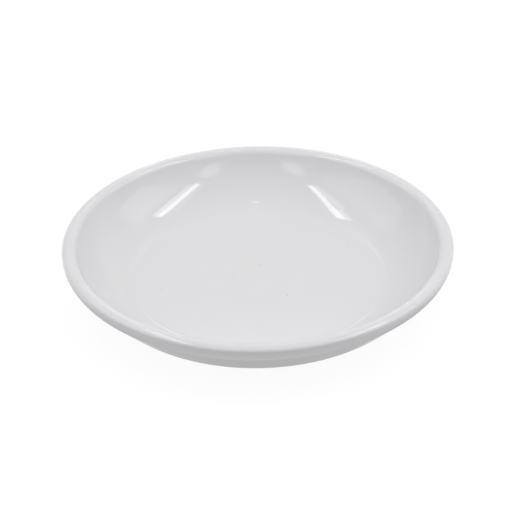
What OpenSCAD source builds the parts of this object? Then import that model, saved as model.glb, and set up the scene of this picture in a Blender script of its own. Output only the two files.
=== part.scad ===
// Round shallow serving and baking dish with a thick rolled lip.
// A fired clay body carries one glaze coat over its inside, lip and outside, and a second glaze
// patch in the hollow under the base. The foot ring between the two is bare clay.
// Millimetres, +Z up, origin on the table under the middle of the dish.

/* [Dish] */
// Diameter over the widest line of the lip
dish_d = 160; // [145:1:190]
// Height from the table to the crest of the lip
dish_h = 25.5; // [23:0.5:36]

/* [Lip] */
// Width of the lip, from its outside to where its inner edge rolls over
lip_w = 4; // [3.6:0.1:4.6]
// Distance of the lip's crest from its outside
lip_crest_w = 3; // [2.5:0.1:3.5]
// Radius of the lip's crowned top
lip_crown_r = 5; // [4.5:0.5:8]
// Radius of the lip's outer edge
lip_outer_r = 1.5; // [1:0.1:2.4]
// Radius of the lip's inner edge
lip_inner_r = 2; // [1.2:0.1:2.3]
// Radius of the lip's rounded underside
lip_under_r = 6.5; // [4:0.1:8]

/* [Inside] */
// Diameter of the flat floor, at the crease where the wall starts
floor_d = 104.5; // [90:0.5:112]
// Height of the floor above the table
floor_h = 7.8; // [6.8:0.1:11]
// Angle at which the inner wall leaves the floor
crease_angle = 11; // [4:0.5:20]
// Radius of the small fillet along the crease
crease_r = 6; // [2:0.5:12]

/* [Outside] */
// Diameter at which the straight outer wall turns into the belly
belly_d = 134; // [126:1:140]
// Height at which the straight outer wall turns into the belly
belly_h = 8.5; // [7:0.1:11]

/* [Foot] */
// Outer diameter of the foot ring
foot_d = 105; // [92:1:112]
// Width of the foot ring
foot_w = 5.5; // [4:0.1:9]
// Height of the glaze's lower end above the table
foot_h = 1.2; // [0.9:0.1:2.4]
// Radius of the foot ring's two lower edges
foot_edge_r = 0.8; // [0.3:0.1:1.1]
// Depth of the hollow under the base
hollow_h = 2.4; // [2:0.1:3.4]
// Radius of the corner between the hollow's roof and the foot ring
hollow_r = 1.2; // [0.5:0.1:1.4]

/* [Glaze] */
// Thickness of the glaze
glaze_t = 0.35; // [0.2:0.05:0.6]
// Bare strip between the foot ring and the glaze on the belly
belly_bare_w = 0.8; // [0.3:0.1:2]
// Bare strip between the foot ring's inner corner and the glaze in the hollow
hollow_bare_w = 0.7; // [0.3:0.1:3]

/* [Hidden] */

// Largest turn between two points of a round stretch, in degrees
arc_step = 4;
// Number of sides of the drawn rounds
round_sides = 180;
// Largest share of its wall that a fillet of the foot may take
fillet_share = 0.9;
// Directions of the outward normal, in degrees, on a section that runs out along X and up along Y
up = 90;
outward = 0;
down = -90;
inward = -180;

dish_r = dish_d / 2;
floor_edge = [floor_d / 2, floor_h];
foot_r = foot_d / 2;
foot_inner_r = foot_r - foot_w;
edge_r = min(foot_edge_r, fillet_share * foot_w / 2, fillet_share * foot_h);
corner_r = min(hollow_r, fillet_share * (hollow_h - edge_r));

// The lip's top is a crown that runs into a tighter inner edge and a tighter outer edge
crown_c = [dish_r - lip_crest_w, dish_h - lip_crown_r];
inner_edge_a = 180 - acos((lip_w - lip_crest_w) / (lip_crown_r - lip_inner_r));
outer_edge_a = acos((lip_crest_w - lip_outer_r) / (lip_crown_r - lip_outer_r));
inner_edge_c = crown_c + (lip_crown_r - lip_inner_r) * [cos(inner_edge_a), sin(inner_edge_a)];
outer_edge_c = crown_c + (lip_crown_r - lip_outer_r) * [cos(outer_edge_a), sin(outer_edge_a)];
underside_c = [dish_r - lip_under_r, outer_edge_c.y];

// The inner wall is one hollow arc from the floor's edge to the lip's inner edge
wall_lean = [-sin(crease_angle), cos(crease_angle)];
lip_to_floor = floor_edge - inner_edge_c;
wall_r = (lip_to_floor * lip_to_floor - pow(lip_inner_r, 2))
    / (2 * (lip_inner_r - lip_to_floor * wall_lean));
wall_c = floor_edge + wall_r * wall_lean;
wall_top_a = direction(wall_c - inner_edge_c);

// The crease fillet touches the floor and the inner wall
crease_rise = wall_c.y - floor_h - crease_r;
crease_run = sqrt(pow(wall_r - crease_r, 2) - pow(crease_rise, 2));
crease_c = [wall_c.x + crease_run, floor_h + crease_r];
crease_top_a = up + atan2(crease_run, crease_rise);

// The outer wall is a straight line from the lip's underside to the belly
belly_top = [belly_d / 2, belly_h];
wall_drop = belly_top - underside_c;
outer_wall_a = direction(wall_drop) + acos(lip_under_r / norm(wall_drop));
glaze_end = [foot_r + belly_bare_w, foot_h];

base_glaze_r = foot_inner_r - corner_r - hollow_bare_w;

// Direction of a section vector, in degrees
function direction(v) = atan2(v.y, v.x);

// A list without its first entry, for a stretch that starts where the last one ended
function rest_of(list) = [for (i = [1 : len(list) - 1]) list[i]];

// A list from its end to its start
function backwards(list) = [for (i = [len(list) - 1 : -1 : 0]) list[i]];

// A round stretch, as entries of [distance out, height, direction of the outward normal].
// A negative radius gives a hollow stretch, whose normals point at its centre.
function round_stretch(centre, r, from, to) =
    let (steps = ceil(abs(to - from) / arc_step))
    [for (i = [0 : steps])
        let (a = from + (to - from) * i / steps)
        [centre.x + r * cos(a), centre.y + r * sin(a), a]];

// An arc that leaves its start along a heading and runs to its end, in the same entries
function arc_to(start, end, heading) =
    let (
        chord = end - start,
        bend = direction(chord) - heading,
        steps = ceil(max(1, abs(2 * bend) / arc_step))
    )
    [for (i = [0 : steps])
        let (
            share = i / steps,
            reach = norm(chord) * (bend == 0 ? share : sin(bend * share) / sin(bend)),
            aim = heading + bend * share
        )
        [start.x + reach * cos(aim), start.y + reach * sin(aim), heading + 2 * bend * share + up]];

// Section points of a path, set back from it by a depth
function set_back(path, depth) = [for (p = path) [p.x, p.y] - depth * [cos(p.z), sin(p.z)]];

// Outer face of the glaze: floor, crease, inner wall, lip, outer wall and belly
glaze_path = concat(
    [[0, floor_h, up]],
    round_stretch(crease_c, -crease_r, up, crease_top_a),
    rest_of(round_stretch(wall_c, -wall_r, crease_top_a, wall_top_a)),
    rest_of(round_stretch(inner_edge_c, lip_inner_r, wall_top_a, inner_edge_a)),
    rest_of(round_stretch(crown_c, lip_crown_r, inner_edge_a, outer_edge_a)),
    rest_of(round_stretch(outer_edge_c, lip_outer_r, outer_edge_a, outward)),
    rest_of(round_stretch(underside_c, lip_under_r, outward, outer_wall_a)),
    arc_to(belly_top, glaze_end, outer_wall_a - up)
);

glaze_face = set_back(glaze_path, 0);
clay_face = set_back(glaze_path, glaze_t);
clay_end = clay_face[len(clay_face) - 1];

// Bare clay: the strip beside the foot ring, the ring itself and the hollow under the base
foot_path = concat(
    [[foot_r, clay_end.y, outward]],
    round_stretch([foot_r - edge_r, edge_r], edge_r, outward, down),
    round_stretch([foot_inner_r + edge_r, edge_r], edge_r, down, inward),
    round_stretch([foot_inner_r - corner_r, hollow_h - corner_r], -corner_r, inward, down),
    [[0, hollow_h, down]]
);

// Lower face of the glaze patch in the hollow, with a rounded edge
base_glaze_path = concat(
    round_stretch([base_glaze_r - glaze_t, hollow_h], glaze_t, outward, down),
    [[0, hollow_h - glaze_t, down]]
);

// Turns a section about the dish's axis
module turned(section) {
    rotate_extrude($fn = round_sides)
        polygon(section);
}

// Fired body with its wall, base and bare foot ring
module clay_body() {
    color("linen")
        turned(concat(clay_face, set_back(foot_path, 0)));
}

// Glaze over the inside, the lip and the outside
module glaze_coat() {
    color("whitesmoke")
        turned(concat(glaze_face, backwards(clay_face)));
}

// Glaze patch in the hollow under the base
module base_glaze() {
    color("white")
        turned(concat([[0, hollow_h]], set_back(base_glaze_path, 0)));
}

clay_body();
glaze_coat();
base_glaze();
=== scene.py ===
"""Looks of a round glazed cazuela dish: its turned pieces, finishes, camera and studio light."""

import logging
import math
from dataclasses import dataclass, field
from enum import Enum

import bpy
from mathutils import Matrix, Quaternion, Vector


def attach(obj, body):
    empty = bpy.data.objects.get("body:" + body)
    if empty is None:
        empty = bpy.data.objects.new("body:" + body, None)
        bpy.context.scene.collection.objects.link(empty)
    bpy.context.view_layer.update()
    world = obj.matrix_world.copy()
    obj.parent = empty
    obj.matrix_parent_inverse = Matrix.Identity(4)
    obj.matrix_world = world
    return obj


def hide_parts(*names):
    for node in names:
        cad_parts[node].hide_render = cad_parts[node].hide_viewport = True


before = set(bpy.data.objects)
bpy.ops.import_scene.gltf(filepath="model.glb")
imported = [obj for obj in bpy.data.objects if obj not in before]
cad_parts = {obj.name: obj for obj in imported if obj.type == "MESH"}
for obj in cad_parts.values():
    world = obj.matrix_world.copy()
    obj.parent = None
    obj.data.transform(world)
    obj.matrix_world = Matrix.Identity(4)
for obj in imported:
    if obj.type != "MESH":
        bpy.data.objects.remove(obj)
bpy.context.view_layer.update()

log = logging.getLogger("cazuela_dish")

Socket = bpy.types.NodeSocket
Colour = tuple[float, float, float, float]

MM = 0.001
FULL_TURN = 2 * math.pi
# Directions of a section's outward normal, in radians from level
UP = math.radians(90)
OUTWARD = 0.0
DOWN = math.radians(-90)
INWARD = math.radians(-180)
BODY = "root"
# Attribute of a section's points that holds the way the ripple pushes them
DIP = "dip"
# Radians of a wave texture per unit of distance, at scale 1
WAVE_RATE = 20.0
# Bands of a noise's numbers that are stretched over a whole range
PATCH_BAND = (0.35, 0.65)
SHEEN_BAND = (0.3, 0.7)
# Numbers of a mix node's colour sockets
MIX_FIRST = 6
MIX_SECOND = 7
MIX_RESULT = 2
# Layers of a panel with a faded edge, and the gap that keeps two layers out of one plane
SOFT_LAYERS = 5
LAYER_GAP = 0.5 * MM


class Slot(Enum):
    """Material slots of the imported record."""

    CLAY = "clay"
    GLAZE = "glaze"


class Face(Enum):
    """Sides of the glazed section that a speck can sit on."""

    INSIDE = "floor, inner wall and inner half of the lip"
    OUTSIDE = "outer half of the lip, outer wall and belly"


class PanelShape(Enum):
    """Outlines that a ceiling panel can have, by Blender's name."""

    SQUARE = "RECTANGLE"
    ROUND = "ELLIPSE"


@dataclass(frozen=True)
class SectionPoint:
    """One point of a section that is turned about the dish's axis.

    Attributes:
        out: Distance from the axis, in metres.
        height: Height above the table, in metres.
        facing: Direction of the outward normal, in radians from level.
        ripple: Share of the glaze's ripple that the point takes.
    """

    out: float
    height: float
    facing: float
    ripple: float = 1.0

    def set_back(self, depth: float) -> "SectionPoint":
        """Give the point at a depth straight under this one.

        Args:
            depth: Distance behind the face, in metres.

        Returns:
            The point, which takes no ripple.
        """
        out = self.out - depth * math.cos(self.facing)
        height = self.height - depth * math.sin(self.facing)
        return SectionPoint(out, height, self.facing, 0.0)

    def calmed(self, share: float) -> "SectionPoint":
        """Give this point with another share of the ripple."""
        return SectionPoint(self.out, self.height, self.facing, share)

    @property
    def place(self) -> tuple[float, float, float]:
        """Place of the point before it is turned about the axis."""
        return self.out, 0.0, self.height

    @property
    def dip(self) -> tuple[float, float, float]:
        """Direction in which the ripple pushes the point, scaled by its share."""
        return -self.ripple * math.cos(self.facing), 0.0, -self.ripple * math.sin(self.facing)


def direction(run: Vector) -> float:
    """Give the direction of a section vector, in radians."""
    return math.atan2(run.y, run.x)


@dataclass(frozen=True)
class Fineness:
    """How closely the points of a section follow its true form.

    Attributes:
        chord_error: Largest gap between the drawn chords and a true round, in metres.
        largest_turn: Largest turn between two points of a round, in radians.
        flat_step: Largest distance between two points of a straight stretch, in metres.
    """

    chord_error: float
    largest_turn: float
    flat_step: float

    def turn_step(self, radius: float) -> float:
        """Give the largest turn between two points of a round, in radians."""
        return min(self.largest_turn, 2 * math.acos(1 - self.chord_error / abs(radius)))


def round_stretch(
    centre: Vector, radius: float, start: float, end: float, fineness: Fineness
) -> list[SectionPoint]:
    """Draw a round stretch of a section.

    Args:
        centre: Centre of the round, as distance out and height.
        radius: Radius of the round; a negative one gives a hollow stretch.
        start: Direction of the normal at the start, in radians.
        end: Direction of the normal at the end, in radians.
        fineness: How closely the points follow the round.

    Returns:
        The points from start to end.
    """
    steps = math.ceil(abs(end - start) / fineness.turn_step(radius))
    turns = [start + (end - start) * i / steps for i in range(steps + 1)]
    return [SectionPoint(centre.x + radius * math.cos(a), centre.y + radius * math.sin(a), a) for a in turns]


def arc_to(start: Vector, end: Vector, heading: float, fineness: Fineness) -> list[SectionPoint]:
    """Draw an arc that leaves its start along a heading and runs to its end.

    Args:
        start: First point, as distance out and height.
        end: Last point, as distance out and height.
        heading: Direction of travel at the start, in radians.
        fineness: How closely the points follow the arc.

    Returns:
        The points from start to end.
    """
    chord = end - start
    bend = direction(chord) - heading
    radius = chord.length / (2 * math.sin(bend))
    steps = math.ceil(abs(2 * bend) / fineness.turn_step(radius))
    points = []
    for i in range(steps + 1):
        share = i / steps
        reach = chord.length * math.sin(bend * share) / math.sin(bend)
        aim = heading + bend * share
        facing = heading + 2 * bend * share + UP
        points.append(SectionPoint(start.x + reach * math.cos(aim), start.y + reach * math.sin(aim), facing))
    return points


@dataclass
class DishSection:
    """Section of the dish, in metres, worked out from the sizes of the solid part.

    Only the lip's width, crown and inner edge have other sizes here, for a softer roll. Its face leaves the
    solid's by a tenth of a millimetre at most, as much as the glaze's ripple.

    Attributes:
        dish_d: Diameter over the widest line of the lip.
        dish_h: Height from the table to the crest of the lip.
        lip_w: Width of the lip, to where its inner edge rolls over.
        lip_crest_w: Distance of the lip's crest from its outside.
        lip_crown_r: Radius of the lip's crowned top.
        lip_outer_r: Radius of the lip's outer edge.
        lip_inner_r: Radius of the lip's inner edge.
        lip_under_r: Radius of the lip's rounded underside.
        floor_d: Diameter of the flat floor at the crease.
        floor_h: Height of the floor above the table.
        crease_angle: Angle at which the inner wall leaves the floor, in radians.
        crease_r: Radius of the fillet along the crease.
        belly_d: Diameter at which the straight outer wall turns into the belly.
        belly_h: Height at which the straight outer wall turns into the belly.
        foot_d: Outer diameter of the foot ring.
        foot_w: Width of the foot ring.
        foot_h: Height of the glaze's lower end.
        foot_edge_r: Radius of the foot ring's lower edges.
        hollow_h: Depth of the hollow under the base.
        hollow_r: Radius of the corner between the hollow's roof and the ring.
        glaze_t: Thickness of the glaze.
        belly_bare_w: Bare strip between the foot ring and the glaze on the belly.
        hollow_bare_w: Bare strip between the ring's inner corner and the hollow's glaze.
        outer_ripple: Share of the glaze's ripple on the outer wall.
        seen: Fineness of a face that shows.
        hidden: Fineness of a face that is covered, and of the narrow bead at the glaze's end.
    """

    dish_d: float = 160 * MM
    dish_h: float = 25.5 * MM
    lip_w: float = 3.4 * MM
    lip_crest_w: float = 3 * MM
    lip_crown_r: float = 4.2 * MM
    lip_outer_r: float = 1.5 * MM
    lip_inner_r: float = 3 * MM
    lip_under_r: float = 6.5 * MM
    floor_d: float = 104.5 * MM
    floor_h: float = 7.8 * MM
    crease_angle: float = math.radians(11)
    crease_r: float = 6 * MM
    belly_d: float = 134 * MM
    belly_h: float = 8.5 * MM
    foot_d: float = 105 * MM
    foot_w: float = 5.5 * MM
    foot_h: float = 1.2 * MM
    foot_edge_r: float = 0.8 * MM
    hollow_h: float = 2.4 * MM
    hollow_r: float = 1.2 * MM
    glaze_t: float = 0.35 * MM
    belly_bare_w: float = 0.8 * MM
    hollow_bare_w: float = 0.7 * MM
    outer_ripple: float = 0.35
    seen: Fineness = Fineness(0.002 * MM, math.radians(2.5), 1.6 * MM)
    hidden: Fineness = Fineness(0.015 * MM, math.radians(10), 4 * MM)

    @property
    def dish_r(self) -> float:
        """Radius over the widest line of the lip."""
        return self.dish_d / 2

    @property
    def foot_inner_r(self) -> float:
        """Inner radius of the foot ring."""
        return self.foot_d / 2 - self.foot_w

    def flat(self, height: float, reach: float, facing: float, fineness: Fineness) -> list[SectionPoint]:
        """Draw a level face from the axis outwards, short of its outer end."""
        steps = math.ceil(reach / fineness.flat_step)
        return [SectionPoint(reach * i / steps, height, facing) for i in range(steps)]

    def inside(self, fineness: Fineness) -> list[SectionPoint]:
        """Draw the glazed face from the floor's middle to the crest of the lip.

        Args:
            fineness: How closely the points follow the face.

        Returns:
            The points, from the axis outwards.
        """
        crown_c = Vector((self.dish_r - self.lip_crest_w, self.dish_h - self.lip_crown_r))
        edge_reach = self.lip_crown_r - self.lip_inner_r
        edge_a = math.pi - math.acos((self.lip_w - self.lip_crest_w) / edge_reach)
        edge_c = crown_c + edge_reach * Vector((math.cos(edge_a), math.sin(edge_a)))
        floor_edge = Vector((self.floor_d / 2, self.floor_h))
        lean = Vector((-math.sin(self.crease_angle), math.cos(self.crease_angle)))
        to_floor = floor_edge - edge_c
        twice_gap = 2 * (self.lip_inner_r - to_floor.dot(lean))
        wall_r = (to_floor.length_squared - self.lip_inner_r**2) / twice_gap
        wall_c = floor_edge + wall_r * lean
        wall_top_a = direction(wall_c - edge_c)
        rise = wall_c.y - self.floor_h - self.crease_r
        run = math.sqrt((wall_r - self.crease_r) ** 2 - rise**2)
        crease_c = Vector((wall_c.x + run, self.floor_h + self.crease_r))
        crease_top_a = UP + math.atan2(run, rise)
        return [
            *self.flat(self.floor_h, crease_c.x, UP, fineness),
            *round_stretch(crease_c, -self.crease_r, UP, crease_top_a, fineness),
            *round_stretch(wall_c, -wall_r, crease_top_a, wall_top_a, fineness)[1:],
            *round_stretch(edge_c, self.lip_inner_r, wall_top_a, edge_a, fineness)[1:],
            *round_stretch(crown_c, self.lip_crown_r, edge_a, UP, fineness)[1:],
        ]

    def outside(self, fineness: Fineness) -> list[SectionPoint]:
        """Draw the glazed face from the crest of the lip down to the end of the glaze.

        Args:
            fineness: How closely the points follow the face.

        Returns:
            The points, from the crest down.
        """
        crown_c = Vector((self.dish_r - self.lip_crest_w, self.dish_h - self.lip_crown_r))
        edge_reach = self.lip_crown_r - self.lip_outer_r
        edge_a = math.acos((self.lip_crest_w - self.lip_outer_r) / edge_reach)
        edge_c = crown_c + edge_reach * Vector((math.cos(edge_a), math.sin(edge_a)))
        under_c = Vector((self.dish_r - self.lip_under_r, edge_c.y))
        belly_top = Vector((self.belly_d / 2, self.belly_h))
        drop = belly_top - under_c
        wall_a = direction(drop) + math.acos(self.lip_under_r / drop.length)
        glaze_end = Vector((self.foot_d / 2 + self.belly_bare_w, self.foot_h))
        face = [
            *round_stretch(crown_c, self.lip_crown_r, UP, edge_a, fineness),
            *round_stretch(edge_c, self.lip_outer_r, edge_a, OUTWARD, fineness)[1:],
            *round_stretch(under_c, self.lip_under_r, OUTWARD, wall_a, fineness)[1:],
            *self.straight(under_c, wall_a, belly_top, fineness),
            *arc_to(belly_top, glaze_end, wall_a - UP, fineness),
        ]
        return [point.calmed(self.outer_share(point.facing)) for point in face]

    def outer_share(self, facing: float) -> float:
        """Give the share of the ripple on the outside, which fades from the crest outwards."""
        return self.outer_ripple + (1 - self.outer_ripple) * max(0.0, math.sin(facing))

    def straight(
        self, under_c: Vector, wall_a: float, belly_top: Vector, fineness: Fineness
    ) -> list[SectionPoint]:
        """Draw the points between the two ends of the straight outer wall.

        Args:
            under_c: Centre of the lip's rounded underside.
            wall_a: Direction of the wall's normal, in radians.
            belly_top: Lower end of the wall.
            fineness: How closely the points are set.

        Returns:
            The points from top to bottom, without both ends.
        """
        top = under_c + self.lip_under_r * Vector((math.cos(wall_a), math.sin(wall_a)))
        steps = math.ceil((belly_top - top).length / fineness.flat_step)
        inner = [top.lerp(belly_top, i / steps) for i in range(1, steps)]
        return [SectionPoint(p.x, p.y, wall_a) for p in inner]

    def glazed_face(self, fineness: Fineness) -> list[SectionPoint]:
        """Draw the whole glazed face, from the floor's middle to the end of the glaze."""
        return [*self.inside(fineness), *self.outside(fineness)[1:]]

    def clay_under_glaze(self) -> list[SectionPoint]:
        """Draw the clay's face under the glaze, from the middle to the glaze's end."""
        return [p.set_back(self.glaze_t) for p in self.glazed_face(self.hidden)]

    def glaze_coat(self) -> list[SectionPoint]:
        """Draw the closed section of the glaze coat, with a rounded bead at its lower end.

        Returns:
            The points, from the axis round to the axis.
        """
        face = self.glazed_face(self.seen)
        end = face[-1]
        bead_r = self.glaze_t / 2
        back_up = Vector((-math.sin(end.facing), math.cos(end.facing)))
        middle = end.set_back(bead_r)
        centre = Vector((middle.out, middle.height)) + bead_r * back_up
        bead = round_stretch(centre, bead_r, end.facing, end.facing - math.pi, self.hidden)
        return [*face[:-1], *bead, *reversed(self.clay_under_glaze()[:-1])]

    def clay_body(self) -> list[SectionPoint]:
        """Draw the closed section of the fired body, with its bare foot ring and hollow.

        Returns:
            The points, from the axis round to the axis.
        """
        covered = self.clay_under_glaze()
        foot_r = self.foot_d / 2
        edge_r = self.foot_edge_r
        corner_c = Vector((self.foot_inner_r - self.hollow_r, self.hollow_h - self.hollow_r))
        outer_c = Vector((foot_r - edge_r, edge_r))
        inner_c = Vector((self.foot_inner_r + edge_r, edge_r))
        bare = [
            SectionPoint(foot_r, covered[-1].height, OUTWARD),
            *round_stretch(outer_c, edge_r, OUTWARD, DOWN, self.seen),
            *round_stretch(inner_c, edge_r, DOWN, INWARD, self.seen),
            *round_stretch(corner_c, -self.hollow_r, INWARD, DOWN, self.seen),
            *reversed(self.flat(self.hollow_h, corner_c.x, DOWN, self.seen)),
        ]
        return [*covered, *(point.calmed(0.0) for point in bare)]

    def base_glaze(self) -> list[SectionPoint]:
        """Draw the closed section of the glaze patch in the hollow, with a rounded edge.

        Returns:
            The points, from the axis round to the axis.
        """
        reach = self.foot_inner_r - self.hollow_r - self.hollow_bare_w - self.glaze_t
        rim = round_stretch(Vector((reach, self.hollow_h)), self.glaze_t, OUTWARD, DOWN, self.seen)
        return [
            SectionPoint(0, self.hollow_h, UP, 0.0),
            *rim,
            *reversed(self.flat(self.hollow_h - self.glaze_t, reach, DOWN, self.seen)),
        ]

    def height_on(self, face: Face, out: float) -> float:
        """Give the height of the glazed face at a distance from the axis.

        Args:
            face: Side of the section that is meant.
            out: Distance from the axis, in metres.

        Returns:
            The height above the table, in metres.
        """
        points = self.inside(self.seen) if face is Face.INSIDE else self.outside(self.seen)
        nearest = min(points, key=lambda p: abs(p.out - out))
        return nearest.height


class NodeBoard:
    """Adds and joins the nodes of one tree."""

    def __init__(self, tree: bpy.types.NodeTree) -> None:
        """Start on a tree."""
        self.tree = tree

    def add(self, kind: str, sockets: dict | None = None, **settings: object) -> bpy.types.Node:
        """Add a node.

        Args:
            kind: Blender's name of the node type.
            sockets: Input names or numbers, each with a value or the output that feeds it.
            settings: Properties of the node.

        Returns:
            The new node.
        """
        node = self.tree.nodes.new(kind)
        for name, value in settings.items():
            setattr(node, name, value)
        self.feed(node, sockets or {})
        return node

    def feed(self, node: bpy.types.Node, sockets: dict) -> None:
        """Give a node its inputs.

        Args:
            node: Node that is fed.
            sockets: Input names or numbers, each with a value or the output that feeds it.
        """
        for name, value in sockets.items():
            if isinstance(value, Socket):
                self.tree.links.new(value, node.inputs[name])
            else:
                node.inputs[name].default_value = value

    def math(self, operation: str, *values: object) -> Socket:
        """Add a sum on numbers and give its result."""
        return self.add("ShaderNodeMath", dict(enumerate(values)), operation=operation).outputs[0]

    def vector(self, operation: str, *values: object) -> Socket:
        """Add a sum on vectors and give its vector."""
        return self.add("ShaderNodeVectorMath", dict(enumerate(values)), operation=operation).outputs[0]

    def noise(self, place: Socket, size: float, seed: float, detail: float = 2.0) -> Socket:
        """Add a noise whose lumps have a size in metres, and give its number from 0 to 1."""
        sockets = {"Vector": place, "W": seed, "Scale": 1 / size, "Detail": detail}
        return self.add("ShaderNodeTexNoise", sockets, noise_dimensions="4D").outputs[0]

    def spread(self, value: Socket, low: float, high: float, new_low: float, new_high: float) -> Socket:
        """Map a range of numbers to another one, held at its ends, and give the result."""
        sockets = {"Value": value, "From Min": low, "From Max": high, "To Min": new_low, "To Max": new_high}
        return self.add("ShaderNodeMapRange", sockets).outputs[0]

    def blend(self, share: Socket, first: object, second: object) -> Socket:
        """Mix two colours, each given as a value or an output, and give the result."""
        sockets = {"Factor": share, MIX_FIRST: first, MIX_SECOND: second}
        return self.add("ShaderNodeMix", sockets, data_type="RGBA").outputs[MIX_RESULT]


@dataclass(frozen=True)
class Speck:
    """A dark speck burnt into the glaze, with its lengths in millimetres.

    Attributes:
        x: Place to the right of the axis.
        y: Place behind the axis.
        width: Diameter.
        depth: Share of the burnt colour at its middle.
        face: Side of the section that it sits on.
    """

    x: float
    y: float
    width: float
    depth: float
    face: Face = Face.INSIDE

    @property
    def radius(self) -> float:
        """Half of the diameter, in metres."""
        return self.width * MM / 2

    def place(self, section: DishSection) -> tuple[float, float, float]:
        """Give the speck's middle on the glaze, in metres."""
        x, y = self.x * MM, self.y * MM
        return x, y, section.height_on(self.face, math.hypot(x, y))


@dataclass(frozen=True)
class WhiteGlaze:
    """Glossy white glaze with faint clouds, soft ripple and burnt specks.

    Attributes:
        white: Colour of the thick glaze.
        cloud: Colour where the glaze is a little thinner.
        burnt: Colour of a speck's middle.
        thin: Colour of the thin edge that the clay shows through.
        thin_end: Height of the glaze's lower end.
        thin_top: Height above which the glaze is thick.
        cloud_size: Size of one cloud.
        sheen_size: Size of one patch of sheen.
        peel_size: Size of one dimple of the surface.
        peel_height: Depth of the dimples.
        roughest: Roughness of the dullest patches.
        smoothest: Roughness of the glossiest patches.
        refraction: Index of refraction.
        seed: Seed of the unevenness.
        speck_core: Share of a speck's radius that has its full colour.
        specks: Specks at their places.
    """

    white: Colour = (0.721, 0.72, 0.733, 1)
    cloud: Colour = (0.715, 0.714, 0.726, 1)
    burnt: Colour = (0.16, 0.14, 0.13, 1)
    thin: Colour = (0.66, 0.59, 0.49, 1)
    thin_end: float = 1.3 * MM
    thin_top: float = 1.95 * MM
    cloud_size: float = 22 * MM
    sheen_size: float = 9 * MM
    peel_size: float = 1.3 * MM
    peel_height: float = 0.012 * MM
    roughest: float = 0.05
    smoothest: float = 0.02
    refraction: float = 1.5
    seed: float = 3.0
    speck_core: float = 0.4
    specks: tuple[Speck, ...] = (
        Speck(1.1, 10.7, 1.1, 0.31),
        Speck(-39.3, -6.4, 1.2, 0.16),
        Speck(-19.6, 6.7, 1.1, 0.12),
        Speck(-16.9, 11.3, 1.1, 0.07),
        Speck(-14, 2.6, 1.1, 0.07),
        Speck(-10.1, 2, 1.0, 0.14),
        Speck(-2.7, -1.8, 1.0, 0.12),
        Speck(-12.9, 17.4, 0.9, 0.06),
        Speck(-16.2, -14.2, 0.9, 0.06),
        Speck(6.8, -15.7, 0.9, 0.18),
        Speck(11.8, -12.8, 1.1, 0.28),
        Speck(13.3, 3, 0.8, 0.14),
        Speck(12.6, 7.6, 0.8, 0.05),
        Speck(30.2, 41.2, 1.0, 0.21),
        Speck(37.9, 26.2, 1.0, 0.19),
        Speck(40.1, 19.1, 1.0, 0.17),
        Speck(57.3, -27, 0.8, 0.5),
        Speck(-58.5, -51.9, 1.1, 0.2, Face.OUTSIDE),
        Speck(-79.8, 4.9, 0.8, 0.6, Face.OUTSIDE),
    )

    def material(self, section: DishSection) -> bpy.types.Material:
        """Make the glaze.

        Args:
            section: Section that the specks sit on.

        Returns:
            The material.
        """
        made = bpy.data.materials.new("white_glaze")
        made.use_nodes = True
        board = NodeBoard(made.node_tree)
        shader = made.node_tree.nodes["Principled BSDF"]
        place = board.add("ShaderNodeTexCoord").outputs["Object"]
        clouds = board.spread(board.noise(place, self.cloud_size, self.seed), *PATCH_BAND, 0, 1)
        height = board.add("ShaderNodeSeparateXYZ", {0: place}).outputs["Z"]
        thin_share = board.spread(height, self.thin_end, self.thin_top, 1, 0)
        ground = board.blend(thin_share, board.blend(clouds, self.white, self.cloud), self.thin)
        colour = board.blend(self.burnt_share(board, place, section), ground, self.burnt)
        sheen = board.noise(place, self.sheen_size, self.seed)
        roughness = board.spread(sheen, *SHEEN_BAND, self.smoothest, self.roughest)
        peel = board.noise(place, self.peel_size, self.seed)
        bump = board.add("ShaderNodeBump", {"Height": peel, "Distance": self.peel_height}).outputs[0]
        board.feed(shader, {"Base Color": colour, "Roughness": roughness, "Normal": bump})
        board.feed(shader, {"IOR": self.refraction})
        return made

    def burnt_share(self, board: NodeBoard, place: Socket, section: DishSection) -> Socket:
        """Give how far each place is burnt, from 0 to 1.

        Args:
            board: Board of the material.
            place: Output with the place on the piece.
            section: Section that the specks sit on.

        Returns:
            The output with the share.
        """
        shares = []
        for speck in self.specks:
            ends = {0: place, 1: speck.place(section)}
            gap = board.add("ShaderNodeVectorMath", ends, operation="DISTANCE").outputs["Value"]
            shares.append(board.spread(gap, self.speck_core * speck.radius, speck.radius, speck.depth, 0))
        burnt = shares[0]
        for share in shares[1:]:
            burnt = board.math("MAXIMUM", burnt, share)
        return burnt


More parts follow.
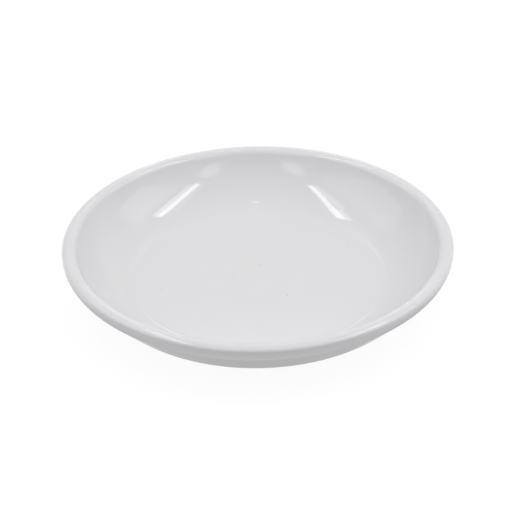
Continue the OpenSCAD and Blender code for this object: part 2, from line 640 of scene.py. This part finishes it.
@dataclass(frozen=True)
class BareClay:
    """Matt fired clay with sandy grain and small dark grains.

    Attributes:
        buff: Main colour.
        pale: Colour of the paler sand.
        grain_dark: Colour of the dark grains.
        worn: Colour where the foot has rubbed on tables.
        worn_top: Height up to which the foot is rubbed.
        worn_most: Largest share of the rubbed colour.
        patch_size: Size of one patch of paler clay.
        sand_size: Size of one lump of sand.
        sand_height: Height of the sand.
        sand_detail: Number of finer steps in the sand.
        grain_spacing: Distance between dark grains.
        grain_width: Width of a dark grain, as a share of their distance.
        grain_core: Share of a dark grain's width that has its full colour.
        ring_spacing: Distance between two turning rings.
        ring_height: Height of the turning rings.
        ring_wander: How far the rings stray from true rounds.
        roughest: Roughness of the dullest patches.
        smoothest: Roughness of the smoothest patches.
        seed: Seed of the unevenness.
    """

    buff: Colour = (0.6, 0.52, 0.41, 1)
    pale: Colour = (0.72, 0.65, 0.55, 1)
    grain_dark: Colour = (0.2, 0.14, 0.1, 1)
    worn: Colour = (0.46, 0.43, 0.38, 1)
    worn_top: float = 0.25 * MM
    worn_most: float = 0.6
    patch_size: float = 7 * MM
    sand_size: float = 0.7 * MM
    sand_height: float = 0.06 * MM
    sand_detail: float = 4.0
    grain_spacing: float = 2.4 * MM
    grain_width: float = 0.16
    grain_core: float = 0.5
    ring_spacing: float = 0.7 * MM
    ring_height: float = 0.03 * MM
    ring_wander: float = 1.5
    roughest: float = 0.95
    smoothest: float = 0.78
    seed: float = 8.0

    def material(self) -> bpy.types.Material:
        """Make the bare clay.

        Returns:
            The material.
        """
        made = bpy.data.materials.new("bare_clay")
        made.use_nodes = True
        board = NodeBoard(made.node_tree)
        shader = made.node_tree.nodes["Principled BSDF"]
        place = board.add("ShaderNodeTexCoord").outputs["Object"]
        patches = board.spread(board.noise(place, self.patch_size, self.seed), *PATCH_BAND, 0, 1)
        sand = board.noise(place, self.sand_size, self.seed, self.sand_detail)
        grains = board.add("ShaderNodeTexVoronoi", {"Vector": place, "Scale": 1 / self.grain_spacing})
        core = self.grain_core * self.grain_width
        dark = board.spread(grains.outputs["Distance"], core, self.grain_width, 1, 0)
        ground = board.blend(patches, self.buff, self.pale)
        height = board.add("ShaderNodeSeparateXYZ", {0: place}).outputs["Z"]
        rubbed = board.math("MULTIPLY", board.spread(height, 0, self.worn_top, self.worn_most, 0), sand)
        colour = board.blend(dark, board.blend(rubbed, ground, self.worn), self.grain_dark)
        roughness = board.spread(sand, *SHEEN_BAND, self.smoothest, self.roughest)
        ring_scale = FULL_TURN / (WAVE_RATE * self.ring_spacing)
        sockets = {"Vector": place, "Scale": ring_scale, "Distortion": self.ring_wander}
        rings = board.add("ShaderNodeTexWave", sockets, wave_type="RINGS", rings_direction="Z")
        relief = board.math("MULTIPLY", rings.outputs[1], self.ring_height / self.sand_height)
        surface = board.math("ADD", sand, relief)
        bump = board.add("ShaderNodeBump", {"Height": surface, "Distance": self.sand_height}).outputs[0]
        board.feed(shader, {"Base Color": colour, "Roughness": roughness, "Normal": bump})
        return made


@dataclass
class Wheel:
    """Turns sections into pieces, with the slight unevenness of fired clay.

    Attributes:
        around: Number of points around the axis.
        ripple_height: Largest dip of the surface's ripple, in metres.
        ripple_size: Size of one ripple, in metres.
        warp_share: Largest share by which the firing pulls a piece in towards its axis.
        warp_size: Size of one lobe of the warp, in metres.
        merge_gap: Distance under which points become one, in metres.
        seed: Seed of the unevenness.
        tree: Node tree that turns a section.
    """

    around: int = 330
    ripple_height: float = 0.1 * MM
    ripple_size: float = 24 * MM
    warp_share: float = 0.002
    warp_size: float = 110 * MM
    merge_gap: float = 0.001 * MM
    seed: float = 5.0
    tree: bpy.types.GeometryNodeTree = field(init=False)

    def __post_init__(self) -> None:
        """Build the tree that turns a section."""
        self.tree = bpy.data.node_groups.new("turned_section", "GeometryNodeTree")
        sockets = (
            ("Section", "INPUT", "NodeSocketGeometry"),
            ("Points around", "INPUT", "NodeSocketInt"),
            ("Points along", "INPUT", "NodeSocketInt"),
            ("Ripple height", "INPUT", "NodeSocketFloat"),
            ("Ripple size", "INPUT", "NodeSocketFloat"),
            ("Warp share", "INPUT", "NodeSocketFloat"),
            ("Warp size", "INPUT", "NodeSocketFloat"),
            ("Seed", "INPUT", "NodeSocketFloat"),
            ("Merge gap", "INPUT", "NodeSocketFloat"),
            ("Material", "INPUT", "NodeSocketMaterial"),
            ("Piece", "OUTPUT", "NodeSocketGeometry"),
        )
        for name, side, kind in sockets:
            self.tree.interface.new_socket(name=name, in_out=side, socket_type=kind)
        board = NodeBoard(self.tree)
        given = board.add("NodeGroupInput").outputs
        swept = self.swept(board, given)
        merged = board.add("GeometryNodeMergeByDistance", {0: swept, "Distance": given["Merge gap"]})
        smooth = board.add("GeometryNodeSetShadeSmooth", {0: merged.outputs[0]})
        real = board.add("GeometryNodeRealizeInstances", {0: smooth.outputs[0]})
        dressed = board.add("GeometryNodeSetMaterial", {0: real.outputs[0], "Material": given["Material"]})
        board.add("NodeGroupOutput", {0: dressed.outputs[0]})

    def swept(self, board: NodeBoard, given: bpy.types.bpy_prop_collection) -> Socket:
        """Lay a grid of points over the section as it turns about the axis, slightly uneven.

        Args:
            board: Board of the tree.
            given: The tree's inputs.

        Returns:
            The output with the swept grid.
        """
        side = 1.0
        rows = given["Points along"]
        last = board.math("SUBTRACT", rows, 1)
        columns = board.math("ADD", given["Points around"], 1)
        sockets = {"Size X": side, "Size Y": side, "Vertices X": columns, "Vertices Y": rows}
        grid = board.add("GeometryNodeMeshGrid", sockets).outputs["Mesh"]
        on_grid = board.add("GeometryNodeInputPosition").outputs[0]
        shares = board.add("ShaderNodeSeparateXYZ", {0: on_grid}).outputs
        angle = board.math("MULTIPLY", board.math("SUBTRACT", side / 2, shares["X"]), FULL_TURN)
        along = board.math("MULTIPLY", board.math("ADD", shares["Y"], side / 2), last)
        number = board.add("FunctionNodeFloatToInt", {0: along}, rounding_mode="ROUND").outputs[0]
        named = board.add("GeometryNodeInputNamedAttribute", {"Name": DIP}, data_type="FLOAT_VECTOR")
        true_place, dip = (
            board.add(
                "ShaderNodeVectorRotate",
                {"Vector": self.sampled(board, given["Section"], value, number), "Angle": angle},
                rotation_type="Z_AXIS",
            ).outputs[0]
            for value in (on_grid, named.outputs[0])
        )
        lobes = self.lumps(board, true_place, given["Warp size"], given["Seed"])
        ripples = self.lumps(board, true_place, given["Ripple size"], given["Seed"])
        pull = board.math("MULTIPLY", lobes, given["Warp share"])
        depth = board.math("MULTIPLY", ripples, given["Ripple height"])
        inwards = board.vector("MULTIPLY", true_place, (-1, -1, 0))
        warp = board.add("ShaderNodeVectorMath", {0: inwards, "Scale": pull}, operation="SCALE").outputs[0]
        ripple = board.add("ShaderNodeVectorMath", {0: dip, "Scale": depth}, operation="SCALE").outputs[0]
        place = board.vector("ADD", true_place, board.vector("ADD", warp, ripple))
        return board.add("GeometryNodeSetPosition", {0: grid, "Position": place}).outputs[0]

    def sampled(self, board: NodeBoard, section: Socket, value: Socket, number: Socket) -> Socket:
        """Read a vector of the section's points by their number."""
        sockets = {"Geometry": section, "Value": value, "Index": number}
        return board.add("GeometryNodeSampleIndex", sockets, data_type="FLOAT_VECTOR").outputs[0]

    def lumps(self, board: NodeBoard, place: Socket, size: Socket, seed: Socket) -> Socket:
        """Make smooth lumps of a given size, as a number from 0 to 1."""
        sockets = {"Vector": place, "W": seed, "Scale": board.math("DIVIDE", 1, size), "Detail": 0}
        return board.add("ShaderNodeTexNoise", sockets, noise_dimensions="4D").outputs[0]

    def turn(self, name: str, section: list[SectionPoint], material: bpy.types.Material) -> bpy.types.Object:
        """Turn a closed section into a piece.

        Args:
            name: Name of the piece.
            section: Points of the section, from the axis round to the axis.
            material: Finish of the piece.

        Returns:
            The piece, as a plain mesh at the origin.
        """
        outline = bpy.data.meshes.new(name + "_section")
        outline.from_pydata([point.place for point in section], [], [])
        dips = outline.attributes.new(DIP, "FLOAT_VECTOR", "POINT")
        dips.data.foreach_set("vector", [number for point in section for number in point.dip])
        holder = bpy.data.objects.new(name + "_holder", outline)
        bpy.context.scene.collection.objects.link(holder)
        values = {
            "Points around": self.around,
            "Points along": len(section),
            "Ripple height": self.ripple_height,
            "Ripple size": self.ripple_size,
            "Warp share": self.warp_share,
            "Warp size": self.warp_size,
            "Seed": self.seed,
            "Merge gap": self.merge_gap,
            "Material": material,
        }
        modifier = holder.modifiers.new("turned", "NODES")
        modifier.node_group = self.tree
        for socket in self.tree.interface.items_tree:
            if socket.name in values:
                modifier[socket.identifier] = values[socket.name]
        made = bpy.data.meshes.new_from_object(holder.evaluated_get(bpy.context.evaluated_depsgraph_get()))
        made.name = name
        bpy.data.objects.remove(holder)
        bpy.data.meshes.remove(outline)
        piece = bpy.data.objects.new(name, made)
        bpy.context.scene.collection.objects.link(piece)
        return piece


@dataclass
class GlazedDish:
    """The dish: fired body, glaze coat and the glaze patch in the hollow under its base.

    Attributes:
        section: Section of the pieces.
        wheel: Wheel that turns them.
        glaze: Finish of the two glaze pieces.
        clay: Finish of the body.
    """

    section: DishSection = field(default_factory=DishSection)
    wheel: Wheel = field(default_factory=Wheel)
    glaze: WhiteGlaze = field(default_factory=WhiteGlaze)
    clay: BareClay = field(default_factory=BareClay)

    def build(self) -> list[bpy.types.Object]:
        """Make the three pieces, dress them and join them to the frame.

        Returns:
            The pieces.
        """
        glaze = self.glaze.material(self.section)
        clay = self.clay.material()
        return [
            self.placed("glaze_skin", self.section.glaze_coat(), glaze, "glaze_coat"),
            self.placed("fired_body", self.section.clay_body(), clay, "clay_body"),
            self.placed("hollow_glaze", self.section.base_glaze(), glaze, "base_glaze"),
        ]

    def placed(
        self, name: str, section: list[SectionPoint], finish: bpy.types.Material, node: str
    ) -> bpy.types.Object:
        """Turn one piece and let it stand for its solid.

        Args:
            name: Name of the piece.
            section: Closed section of the piece.
            finish: Material of the piece.
            node: Solid that the piece stands for.

        Returns:
            The piece.
        """
        piece = self.wheel.turn(name, section, finish)
        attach(piece, BODY)
        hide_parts(node)
        return piece


@dataclass
class PhotoCamera:
    """Camera that stands where the photograph was taken from, for a square picture.

    Attributes:
        target: Point on the dish's axis that the distance is measured from.
        distance: Distance of the camera from the target.
        elevation: Height angle of the camera, in radians.
        roll: Turn of the camera about its line of sight, in radians.
        lens: Focal length, in millimetres.
        sensor: Width of the sensor, in millimetres.
        aim_right: Shift of the aim to the right of the target.
        aim_up: Shift of the aim upwards in the picture.
    """

    target: Vector = field(default_factory=lambda: Vector((0, 0, 12 * MM)))
    distance: float = 1600 * MM
    elevation: float = math.radians(31.92)
    roll: float = math.radians(-0.93)
    lens: float = 274.8
    sensor: float = 36.0
    aim_right: float = -0.76 * MM
    aim_up: float = 5.81 * MM

    def build(self) -> bpy.types.Object:
        """Make the camera and give it to the scene.

        Returns:
            The camera.
        """
        back = Vector((0, -math.cos(self.elevation), math.sin(self.elevation)))
        raised = Vector((0, math.sin(self.elevation), math.cos(self.elevation)))
        aim = self.target + Vector((self.aim_right, 0, 0)) + self.aim_up * raised
        data = bpy.data.cameras.new("photo_camera")
        data.lens = self.lens
        data.sensor_width = self.sensor
        camera = bpy.data.objects.new("photo_camera", data)
        bpy.context.scene.collection.objects.link(camera)
        camera.location = self.target + self.distance * back
        camera.rotation_mode = "QUATERNION"
        sight = (aim - camera.location).to_track_quat("-Z", "Y")
        camera.rotation_quaternion = sight @ Quaternion((0, 0, 1), self.roll)
        bpy.context.scene.camera = camera
        return camera


@dataclass(frozen=True)
class CeilingPanel:
    """A flat light that hangs level over the dish and shines down.

    Attributes:
        name: Name of the light.
        left: Left edge, as a share of the lights' height.
        right: Right edge, as a share of the lights' height.
        front: Edge towards the camera, as a share of the lights' height.
        back: Edge away from the camera, as a share of the lights' height.
        brightness: Light that the panel sends down, per area.
        turn: Turn about the upright through its middle, in radians.
        soft: Half width of its faded edge, as a share of the lights' height.
        shape: Outline of the panel.
    """

    name: str
    left: float
    right: float
    front: float
    back: float
    brightness: float
    turn: float = 0.0
    soft: float = 0.0
    shape: PanelShape = PanelShape.SQUARE

    def build(self, height: float) -> list[bpy.types.Object]:
        """Hang the panel at a height.

        Args:
            height: Height of its lowest layer, in metres.

        Returns:
            Its layers, one for a sharp panel and a stack for a panel with a faded edge.
        """
        count = SOFT_LAYERS if self.soft else 1
        reaches = [self.soft * ((2 * i + 1) / count - 1) for i in range(count)]
        return [self.layer(reach, count, height + i * LAYER_GAP) for i, reach in enumerate(reaches)]

    def layer(self, reach: float, count: int, height: float) -> bpy.types.Object:
        """Hang one layer of the panel.

        Args:
            reach: How far the layer reaches past the panel's edges, as a share of its height.
            count: Number of layers that share the panel's brightness.
            height: Height of the layer, in metres.

        Returns:
            The light.
        """
        width = (self.right - self.left + 2 * reach) * height
        depth = (self.back - self.front + 2 * reach) * height
        area = width * depth * (math.pi / 4 if self.shape is PanelShape.ROUND else 1)
        data = bpy.data.lights.new(self.name, "AREA")
        data.shape = self.shape.value
        data.size = width
        data.size_y = depth
        data.energy = self.brightness / count * math.pi * area
        light = bpy.data.objects.new(self.name, data)
        middle_x = (self.left + self.right) / 2
        middle_y = (self.front + self.back) / 2
        light.location = (middle_x * height, middle_y * height, height)
        light.rotation_euler = (0, 0, self.turn)
        light.visible_camera = False
        bpy.context.scene.collection.objects.link(light)
        return light


@dataclass(frozen=True)
class Glow:
    """Brightness of the room in directions of one rise.

    Attributes:
        rise: Upward part of the direction, from -1 straight down to 1 straight up.
        brightness: Radiance in that direction.
    """

    rise: float
    brightness: float


@dataclass(frozen=True)
class Room:
    """Soft light of the room round the dish, by direction.

    Attributes:
        front: Light on the camera's side, from straight down to straight up.
        back: Light behind the dish, from straight down to straight up.
        turn: Half width of the change from front to back, as the depth part of a direction.
    """

    front: tuple[Glow, ...] = (
        Glow(-1, 1.07), Glow(-0.8, 0.89), Glow(-0.6, 0.7), Glow(-0.4, 0.49), Glow(-0.2, 0.29),
        Glow(-0.1, 0.18), Glow(0, 0.21), Glow(0.1, 0.38), Glow(0.25, 0.56), Glow(0.45, 0.64),
        Glow(0.7, 0.69), Glow(1, 0.76),
    )
    back: tuple[Glow, ...] = (
        Glow(-1, 0.78), Glow(-0.8, 0.43), Glow(-0.65, 0.52), Glow(-0.5, 0.91), Glow(-0.35, 1.24),
        Glow(-0.2, 1.37), Glow(-0.1, 1.28), Glow(0, 1.05), Glow(0.1, 0.81), Glow(0.25, 0.66),
        Glow(0.45, 0.6), Glow(0.7, 0.63), Glow(1, 0.71),
    )
    turn: float = 0.3

    def build(self) -> bpy.types.World:
        """Make the room's light and give it to the scene.

        Returns:
            The world.
        """
        world = bpy.data.worlds.new("studio_room")
        world.use_nodes = True
        board = NodeBoard(world.node_tree)
        heading = board.add("ShaderNodeTexCoord").outputs["Generated"]
        parts = board.add("ShaderNodeSeparateXYZ", {0: heading}).outputs
        share_up = board.spread(parts["Z"], -1, 1, 0, 1)
        front = self.profile(board, share_up, self.front)
        back = self.profile(board, share_up, self.back)
        share_back = board.spread(parts["Y"], -self.turn, self.turn, 0, 1)
        colour = board.blend(share_back, front, back)
        board.feed(world.node_tree.nodes["Background"], {"Color": colour})
        bpy.context.scene.world = world
        return world

    def profile(self, board: NodeBoard, share_up: Socket, glows: tuple[Glow, ...]) -> Socket:
        """Give the light by rise.

        Args:
            board: Board of the world.
            share_up: Output with the rise, from 0 straight down to 1 straight up.
            glows: Stops of the profile.

        Returns:
            The output with the light.
        """
        node = board.add("ShaderNodeValToRGB", {0: share_up})
        stops = node.color_ramp.elements
        while len(stops) < len(glows):
            stops.new(1.0)
        for stop, glow in zip(stops, glows):
            stop.position = (glow.rise + 1) / 2
            stop.color = (glow.brightness, glow.brightness, glow.brightness, 1)
        return node.outputs[0]


@dataclass
class Studio:
    """Pale floor, soft room and a soft ceiling with two rows of strips.

    Attributes:
        floor_reach: Distance from the dish to the floor's edge.
        floor_grey: Colour of the floor's board, under its own light.
        floor_glow: Light that the floor gives off, which makes it white and its shadow pale.
        light_height: Height of the lights above the floor.
        mirrorings: Most times that light is mirrored on its way, as along the hollow wall.
        room: Light of the room.
        panels: The lights.
    """

    floor_reach: float = 8.0
    floor_grey: Colour = (0.12, 0.12, 0.12, 1)
    floor_glow: float = 0.9
    light_height: float = 1.5
    mirrorings: int = 32
    room: Room = field(default_factory=Room)
    panels: tuple[CeilingPanel, ...] = (
        CeilingPanel("right_ceiling", 0.75, 2.0, -0.38, 0.55, 1.07, soft=0.09),
        CeilingPanel("right_front_ceiling", 0.85, 2.0, -1.5, -0.5, 0.18, soft=0.09),
        CeilingPanel("right_back_ceiling", 0.75, 4.5, 0.65, 3.0, 0.31, soft=0.3),
        CeilingPanel("left_ceiling", -2.4, -0.65, -0.6, 0.8, 0.71, soft=0.09),
        CeilingPanel("left_rail", -1.34, -1.2, -0.56, 0.3, 0.55, soft=0.03),
        CeilingPanel("right_strip", 0.498, 0.567, -0.38, 0.41, 6.4),
        CeilingPanel("right_strip_spill", 0.567, 0.645, -0.36, 0.39, 2.8),
        CeilingPanel("right_strip_fringe", 0.43, 0.498, -0.38, 0.42, 1.0),
        CeilingPanel("left_strip_front", -0.43, -0.378, -0.25, 0.12, 6.4, math.radians(-4.2)),
        CeilingPanel("left_strip_back", -0.374, -0.32, 0.12, 0.6, 5.3, math.radians(-8.5)),
        CeilingPanel("left_strip_spill", -0.5, -0.425, -0.26, 0.31, 2.0),
        CeilingPanel("left_strip_hook", -0.415, -0.355, 0.32, 0.6, 2.2, math.radians(-7)),
        CeilingPanel(
            "front_right_panel", 0.46, 0.74, -1.27, -0.57, 1.9, math.radians(14.7), 0.06, PanelShape.ROUND
        ),
        CeilingPanel(
            "front_left_panel", -0.605, -0.335, -1.31, -0.57, 1.7, math.radians(-7.9), 0.06, PanelShape.ROUND
        ),
        CeilingPanel("back_right_panel", 0.27, 0.38, 0.86, 1.41, 0.36, soft=0.03),
        CeilingPanel("back_left_panel", -0.32, -0.21, 0.84, 1.34, 0.5, soft=0.03),
        CeilingPanel("back_band", -0.25, 0.25, 1.2, 1.525, 0.45),
        CeilingPanel("back_window", -0.2, 0.24, 1.8, 2.15, 0.5),
        CeilingPanel("far_right_panel", 0.08, 0.26, 2.35, 2.9, 2.5, soft=0.04),
        CeilingPanel("far_left_panel", -0.28, -0.08, 2.3, 2.9, 2.5, soft=0.04),
        CeilingPanel("small_lamp", -0.007, 0.027, 0.268, 0.29, 6.0),
    )

    def build(self) -> None:
        """Lay the floor, light the room and hang the panels."""
        self.lay_floor()
        self.room.build()
        height = self.light_height
        for panel in self.panels:
            height += LAYER_GAP * len(panel.build(height))
        bpy.context.scene.view_settings.view_transform = "Standard"
        bpy.context.scene.cycles.max_bounces = self.mirrorings
        bpy.context.scene.cycles.glossy_bounces = self.mirrorings

    def lay_floor(self) -> bpy.types.Object:
        """Make the pale floor, which shows itself and its shadow but casts no light back up.

        Returns:
            The floor.
        """
        reach = self.floor_reach
        mesh = bpy.data.meshes.new("pale_floor")
        corners = [(-reach, -reach, 0), (reach, -reach, 0), (reach, reach, 0), (-reach, reach, 0)]
        mesh.from_pydata(corners, [], [(0, 1, 2, 3)])
        mesh.materials.append(self.floor_finish())
        floor = bpy.data.objects.new("pale_floor", mesh)
        floor.visible_diffuse = False
        floor.visible_glossy = False
        floor.visible_shadow = False
        bpy.context.scene.collection.objects.link(floor)
        return floor

    def floor_finish(self) -> bpy.types.Material:
        """Make the floor's matt grey, lit from within to a pale white and clear from below.

        Returns:
            The material.
        """
        finish = bpy.data.materials.new("pale_board")
        finish.use_nodes = True
        board = NodeBoard(finish.node_tree)
        shader = finish.node_tree.nodes["Principled BSDF"]
        board.feed(shader, {"Base Color": self.floor_grey, "Roughness": 1.0, "Specular IOR Level": 0.0})
        board.feed(shader, {"Emission Color": (1, 1, 1, 1), "Emission Strength": self.floor_glow})
        clear = board.add("ShaderNodeBsdfTransparent").outputs[0]
        from_below = board.add("ShaderNodeNewGeometry").outputs["Backfacing"]
        mixed = board.add("ShaderNodeMixShader", {0: from_below, 1: shader.outputs[0], 2: clear})
        board.feed(finish.node_tree.nodes["Material Output"], {"Surface": mixed.outputs[0]})
        return finish


def main() -> None:
    """Build the camera, the studio and the dish, and log each piece's number of faces."""
    logging.basicConfig(level=logging.INFO, format="%(message)s")
    PhotoCamera().build()
    Studio().build()
    for piece in GlazedDish().build():
        log.info("%s: %d faces", piece.name, len(piece.data.polygons))


if __name__ == "__main__":
    main()
